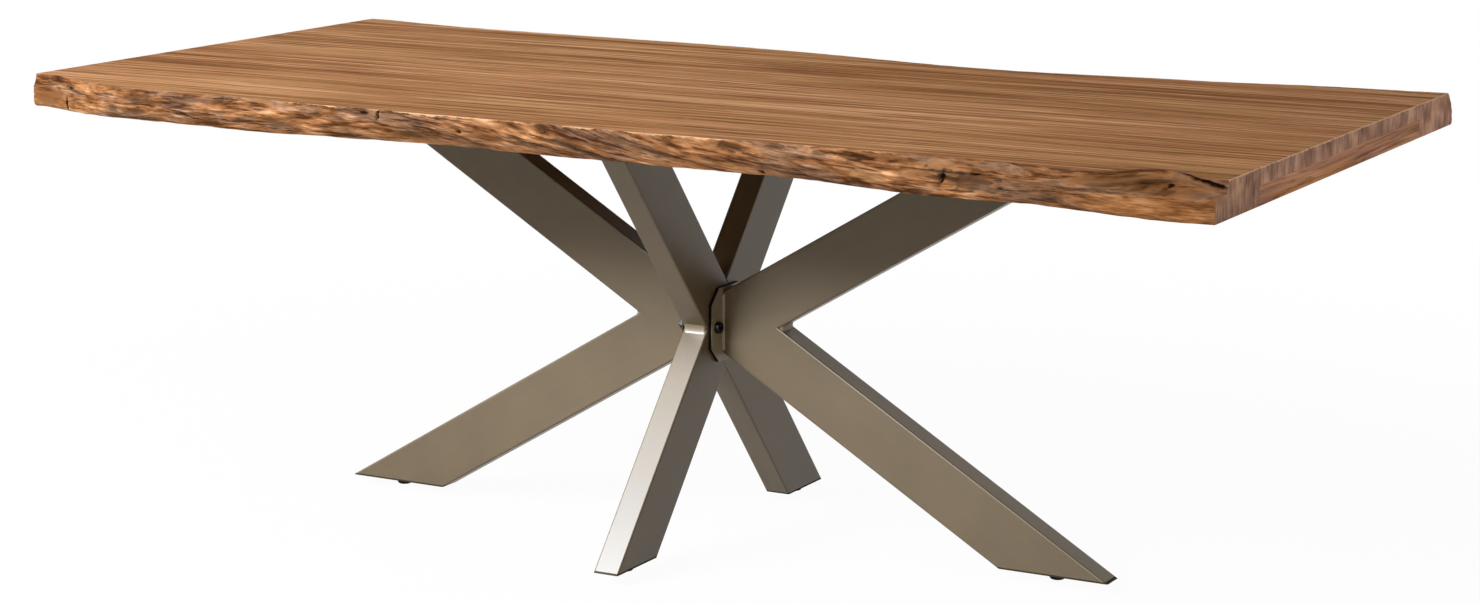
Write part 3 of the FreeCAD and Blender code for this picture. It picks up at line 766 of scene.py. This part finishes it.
vee_low, vee_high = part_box("vee_crotch_welds")
vee_middle = (vee_low + vee_high) / 2
vee_reach = vee_high.x - crotch_leg * math.cos(vee_lean)
vee_corners = []
for turn_angle in (-quarter, quarter):
    turn = Matrix.Rotation(turn_angle, 4, "Z")
    place = Matrix.Translation(vee_middle) @ turn @ Matrix.Translation((0, vee_reach, 0))
    vee_corners.append((vee_lean, place))
vee_length = vee_high.y - vee_low.y
weld_beads("vee_crotch_welds", vee_length, crotch_leg, crotch_hollow, vee_corners)

upright_low, upright_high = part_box("hub_plate_welds")
upright_middle = (upright_low + upright_high) / 2
upright_x = upright_high.x - plate_leg
upright_y = upright_high.y - plate_leg
standing = Matrix.Rotation(-quarter, 4, "Y")
upright_corners = []
for side_x in (-1, 1):
    for side_y in (-1, 1):
        corner = Matrix.Translation((side_x * upright_x, side_y * upright_y, upright_middle.z))
        facing = Matrix.Rotation(math.atan2(-side_x, side_y), 4, "Z")
        upright_corners.append((quarter / 2, corner @ facing @ standing))
upright_length = upright_high.z - upright_low.z
weld_beads("hub_plate_welds", upright_length, plate_leg, plate_hollow, upright_corners)


# Hub bolts
# Two black button-head bolts through both hub plates and the cross frame. Their heads are on the
# right and their nuts on the left, with a washer under each.

black, black_shader, black_place = new_finish("black_oxide")
black_grain = stretched(black_place, (260, 260, 260), 3.0)
feed(black_shader, Base_Color=ramp(black_grain, (0.3, tone(12, 11, 10)), (0.7, tone(28, 26, 24))))
feed(black_shader, Roughness=0.3 + 0.25 * black_grain, Normal=bump(black_grain, 0.0001))
black_shader.inputs["Metallic"].default_value = 0.8
dress(black, "hub_bolts", "hub_washers", "hub_nuts")


# Glides
# Black moulded levelling glides with a domed underside, screwed into the feet on steel studs.

plastic, plastic_shader, plastic_place = new_finish("black_nylon")
plastic_grain = stretched(plastic_place, (900, 900, 900), 2.0)
feed(plastic_shader, Base_Color=ramp(plastic_grain, (0.3, tone(4, 4, 4)), (0.7, tone(12, 12, 11))))
plastic_shader.inputs["Specular IOR Level"].default_value = 0.1
feed(plastic_shader, Roughness=0.5 + 0.2 * plastic_grain, Normal=bump(plastic_grain, 0.0001))
dress(plastic, *[f"{side}_glide" for side in sides])


# Floor
# A plain pale floor, as low as the glides reach. It shows white and keeps a faint shadow.

floor_half_width = 40.0
glide_travel = 0.01
floor_mesh = bmesh.new()
lowered = Matrix.Translation((0, 0, -glide_travel))
bmesh.ops.create_grid(floor_mesh, x_segments=1, y_segments=1, size=floor_half_width, matrix=lowered)
floor_data = bpy.data.meshes.new("floor")
floor_mesh.to_mesh(floor_data)
floor_mesh.free()
floor = bpy.data.objects.new("floor", floor_data)
bpy.context.scene.collection.objects.link(floor)


def seen_directly(wire):
    """1 for what the camera sees, straight or in a gloss or glass, and 0 for other light."""
    camera_rays, glossy_rays, glass_rays = [
        wire.add("ShaderNodeLightPath", output=f"Is {kind} Ray")
        for kind in ("Camera", "Glossy", "Transmission")
    ]
    return wire.math("MINIMUM", camera_rays + glossy_rays + glass_rays, 1.0)


near_white = 0.96
shadow_reach = 1.0
white_reach = 3.4
floor_finish, floor_shader, floor_place = new_finish("pale_floor")
floor_tree = floor_finish.node_tree
floor_shader.inputs["Base Color"].default_value = (0.88, 0.87, 0.86, 1.0)
floor_shader.inputs["Roughness"].default_value = 0.9
floor_shader.inputs["Specular IOR Level"].default_value = 0.0
distance = floor_place.add(
    "ShaderNodeVectorMath", {"operation": "LENGTH"}, {0: floor_place}, "Value"
)
white_part = near_white + (1 - near_white) * fade(distance, shadow_reach, white_reach)
glow = floor_place.add("ShaderNodeEmission", None, {"Color": (1.0, 1.0, 1.0, 1.0), "Strength": 1.0})
plain = Wire(floor_tree, floor_shader.outputs[0])
white_mask = seen_directly(floor_place) * white_part
mixed = floor_place.add("ShaderNodeMixShader", None, {0: white_mask, 1: plain, 2: glow})
floor_tree.links.new(mixed.socket, floor_tree.nodes["Material Output"].inputs["Surface"])
floor_finish.cycles.emission_sampling = "NONE"
floor_data.materials.append(floor_finish)


# Light
# Soft studio light: an even pale room, a broad key from the front left, and beside it a bright card
# that only shows as sheen on the metal.

world = bpy.data.worlds.new("studio")
world.use_nodes = True
bpy.context.scene.world = world
room = world.node_tree.nodes["Background"]
room_wire = Wire(world.node_tree)
room_level = 0.42
room.inputs["Color"].default_value = (1.0, 0.985, 0.965, 1.0)
room_strength = room_level + (1 - room_level) * seen_directly(room_wire)
world.node_tree.links.new(room_strength.socket, room.inputs["Strength"])

table_middle = Vector((0.0, 0.0, 0.4))
key_direction = Vector((-0.44, -0.72, 0.54))
sheen_direction = Vector((-0.38, -0.75, 0.54))


def panel(name, direction, distance, width, height, energy):
    """A rectangular lamp that faces the table."""
    lamp = bpy.data.lights.new(name, "AREA")
    lamp.shape = "RECTANGLE"
    lamp.size = width
    lamp.size_y = height
    lamp.energy = energy
    stand = bpy.data.objects.new(name, lamp)
    stand.location = table_middle + distance * direction
    stand.rotation_euler = (table_middle - stand.location).to_track_quat("-Z", "Y").to_euler()
    bpy.context.scene.collection.objects.link(stand)
    return stand


panel("key_softbox", key_direction, distance=5.5, width=3.0, height=2.0, energy=345.0)
sheen = panel("sheen_card", sheen_direction, distance=6.0, width=2.6, height=1.8, energy=3000.0)
sheen.data.color = (0.87, 0.98, 1.13)
sheen.visible_diffuse = False


# Camera
# A long lens at the front right of the table, a little above it.

camera_place = (2.60419, -4.74536, 1.4745)
camera_yaw = math.radians(28.296)
camera_pitch = math.radians(11.229)
camera_roll = math.radians(0.263)
camera_data = bpy.data.cameras.new("camera")
camera_data.sensor_fit = "HORIZONTAL"
camera_data.sensor_width = 36.0
camera_data.lens = 78.506
camera = bpy.data.objects.new("camera", camera_data)
camera.matrix_world = (
    Matrix.Translation(camera_place)
    @ Matrix.Rotation(camera_yaw, 4, "Z")
    @ Matrix.Rotation(quarter - camera_pitch, 4, "X")
    @ Matrix.Rotation(camera_roll, 4, "Z")
)
bpy.context.scene.collection.objects.link(camera)
bpy.context.scene.camera = camera
bpy.context.scene.view_settings.view_transform = "Standard"
